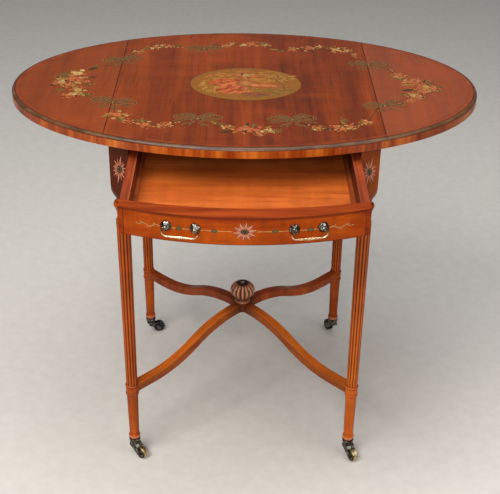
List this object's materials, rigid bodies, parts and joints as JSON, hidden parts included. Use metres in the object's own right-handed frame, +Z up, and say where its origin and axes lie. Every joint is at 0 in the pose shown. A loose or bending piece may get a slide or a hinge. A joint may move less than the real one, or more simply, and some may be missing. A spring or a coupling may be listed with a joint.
{
  "type": "drop-leaf table",
  "caption": "Oval drop-leaf table with bow-fronted frieze drawer, swan-neck bail handles, reeded tapering legs, arched cross stretcher with finial, and swivel casters.",
  "frame": {"origin": "on the floor under the middle of the oval top", "axes": "+X along the length of the oval, -Y towards the drawer side, +Z up"},
  "size_m": [0.886, 0.7668, 0.732],
  "materials": {
    "satinwood_frame": "polished golden satinwood",
    "satinwood_top": "french polished, reddish brown",
    "satinwood_rail": "polished golden satinwood",
    "drawer_face": "polished with painted flowers",
    "drawer_lining": "waxed mahogany",
    "drawer_floor": "waxed cedar",
    "carcass_wood": "bare pine, darkened",
    "fly_wood": "waxed beech",
    "rosette_metal": "dark aged, worn bright on the facets",
    "bail_brass": "pale polished brass",
    "hinge_iron": "dull iron",
    "screw_steel": "dull steel",
    "caster_metal": "dark bronzed brass",
    "wheel_brass": "worn olive brass"
  },
  "bodies": {
    "frame": {"caster_cups": "caster_metal", "drawer_kickers": "carcass_wood", "drawer_runners": "carcass_wood", "finial": "satinwood_frame", "fly_pins": "hinge_iron", "front_bottom_rail": "satinwood_rail", "front_top_rail": "satinwood_rail", "glue_blocks": "carcass_wood", "hinge_pins": "hinge_iron", "hinge_plate_screws": "screw_steel", "hinge_plates_left": "hinge_iron", "hinge_plates_right": "hinge_iron", "inner_rail_left": "carcass_wood", "inner_rail_right": "carcass_wood", "leg_front_left": "satinwood_frame", "leg_front_right": "satinwood_frame", "leg_rear_left": "satinwood_frame", "leg_rear_right": "satinwood_frame", "outer_rail_left": "satinwood_rail", "outer_rail_right": "satinwood_rail", "rear_frieze": "satinwood_rail", "rear_rosettes": "rosette_metal", "stretcher_arm_front_left": "satinwood_frame", "stretcher_arm_front_right": "satinwood_frame", "stretcher_arm_rear_left": "satinwood_frame", "stretcher_arm_rear_right": "satinwood_frame", "stretcher_boss": "satinwood_frame", "top_centre": "satinwood_top", "top_screws": "screw_steel"},
    "leaf_left": {"leaf_left": "satinwood_top", "hinge_straps_left": "hinge_iron", "strap_screws_left": "screw_steel"},
    "leaf_right": {"leaf_right": "satinwood_top", "hinge_straps_right": "hinge_iron", "strap_screws_right": "screw_steel"},
    "fly_left": {"fly_left": "fly_wood"},
    "fly_right": {"fly_right": "fly_wood"},
    "drawer": {"drawer_front": "drawer_face", "drawer_side_left": "drawer_lining", "drawer_side_right": "drawer_lining", "drawer_back": "drawer_lining", "drawer_bottom": "drawer_floor", "drawer_slips": "drawer_lining", "drawer_rosettes": "rosette_metal"},
    "bail_front_left": {"bail_front_left": "bail_brass"},
    "bail_front_right": {"bail_front_right": "bail_brass"},
    "bail_rear_left": {"bail_rear_left": "bail_brass"},
    "bail_rear_right": {"bail_rear_right": "bail_brass"},
    "caster_front_left": {"caster_fork_front_left": "caster_metal", "caster_axle_front_left": "wheel_brass"},
    "wheel_front_left": {"caster_wheel_front_left": "wheel_brass"},
    "caster_front_right": {"caster_fork_front_right": "caster_metal", "caster_axle_front_right": "wheel_brass"},
    "wheel_front_right": {"caster_wheel_front_right": "wheel_brass"},
    "caster_rear_left": {"caster_fork_rear_left": "caster_metal", "caster_axle_rear_left": "wheel_brass"},
    "wheel_rear_left": {"caster_wheel_rear_left": "wheel_brass"},
    "caster_rear_right": {"caster_fork_rear_right": "caster_metal", "caster_axle_rear_right": "wheel_brass"},
    "wheel_rear_right": {"caster_wheel_rear_right": "wheel_brass"}
  },
  "joints": [
    {"name": "leaf_left_fold", "type": "hinge", "parent": "frame", "child": "leaf_left", "pos_m": [-0.245, 0, 0.716], "axis": [0, -1, 0], "range_deg": [0, 90]},
    {"name": "leaf_right_fold", "type": "hinge", "parent": "frame", "child": "leaf_right", "pos_m": [0.245, 0, 0.716], "axis": [0, 1, 0], "range_deg": [0, 90]},
    {"name": "fly_left_swing", "type": "hinge", "parent": "frame", "child": "fly_left", "pos_m": [-0.2265, 0.1, 0.66], "axis": [0, 0, 1], "range_deg": [-90, 0]},
    {"name": "fly_right_swing", "type": "hinge", "parent": "frame", "child": "fly_right", "pos_m": [0.2265, 0.1, 0.66], "axis": [0, 0, -1], "range_deg": [-90, 0]},
    {"name": "drawer_slide", "type": "slide", "parent": "frame", "child": "drawer", "axis": [0, -1, 0], "range_m": [-0.193, 0.11]},
    {"name": "bail_front_left_swing", "type": "hinge", "parent": "drawer", "child": "bail_front_left", "pos_m": [-0.10292, -0.46529, 0.6725], "axis": [-0.9841, 0.1776, 0], "range_deg": [0, 90]},
    {"name": "bail_front_right_swing", "type": "hinge", "parent": "drawer", "child": "bail_front_right", "pos_m": [0.10292, -0.46529, 0.6725], "axis": [-0.9841, -0.1776, 0], "range_deg": [0, 90]},
    {"name": "bail_rear_left_swing", "type": "hinge", "parent": "frame", "child": "bail_rear_left", "pos_m": [-0.10292, 0.27229, 0.6725], "axis": [0.9841, 0.1776, 0], "range_deg": [0, 90]},
    {"name": "bail_rear_right_swing", "type": "hinge", "parent": "frame", "child": "bail_rear_right", "pos_m": [0.10292, 0.27229, 0.6725], "axis": [0.9841, -0.1776, 0], "range_deg": [0, 90]},
    {"name": "caster_front_left_swivel", "type": "hinge", "parent": "frame", "child": "caster_front_left", "pos_m": [-0.22, -0.2195, 0.03], "axis": [0, 0, 1], "continuous": true},
    {"name": "wheel_front_left_roll", "type": "hinge", "parent": "caster_front_left", "child": "wheel_front_left", "pos_m": [-0.2048, -0.2325, 0.013], "axis": [0.65, 0.76, 0], "continuous": true},
    {"name": "caster_front_right_swivel", "type": "hinge", "parent": "frame", "child": "caster_front_right", "pos_m": [0.22, -0.2195, 0.03], "axis": [0, 0, 1], "continuous": true},
    {"name": "wheel_front_right_roll", "type": "hinge", "parent": "caster_front_right", "child": "wheel_front_right", "pos_m": [0.22958, -0.23706, 0.013], "axis": [0.8779, 0.4789, 0], "continuous": true},
    {"name": "caster_rear_left_swivel", "type": "hinge", "parent": "frame", "child": "caster_rear_left", "pos_m": [-0.22, 0.2195, 0.03], "axis": [0, 0, 1], "continuous": true},
    {"name": "wheel_rear_left_roll", "type": "hinge", "parent": "caster_rear_left", "child": "wheel_rear_left", "pos_m": [-0.20119, 0.2263, 0.013], "axis": [-0.3401, 0.9404, 0], "continuous": true},
    {"name": "caster_rear_right_swivel", "type": "hinge", "parent": "frame", "child": "caster_rear_right", "pos_m": [0.22, 0.2195, 0.03], "axis": [0, 0, 1], "continuous": true},
    {"name": "wheel_rear_right_roll", "type": "hinge", "parent": "caster_rear_right", "child": "wheel_rear_right", "pos_m": [0.21236, 0.23799, 0.013], "axis": [-0.9243, -0.3818, 0], "continuous": true}
  ]
}
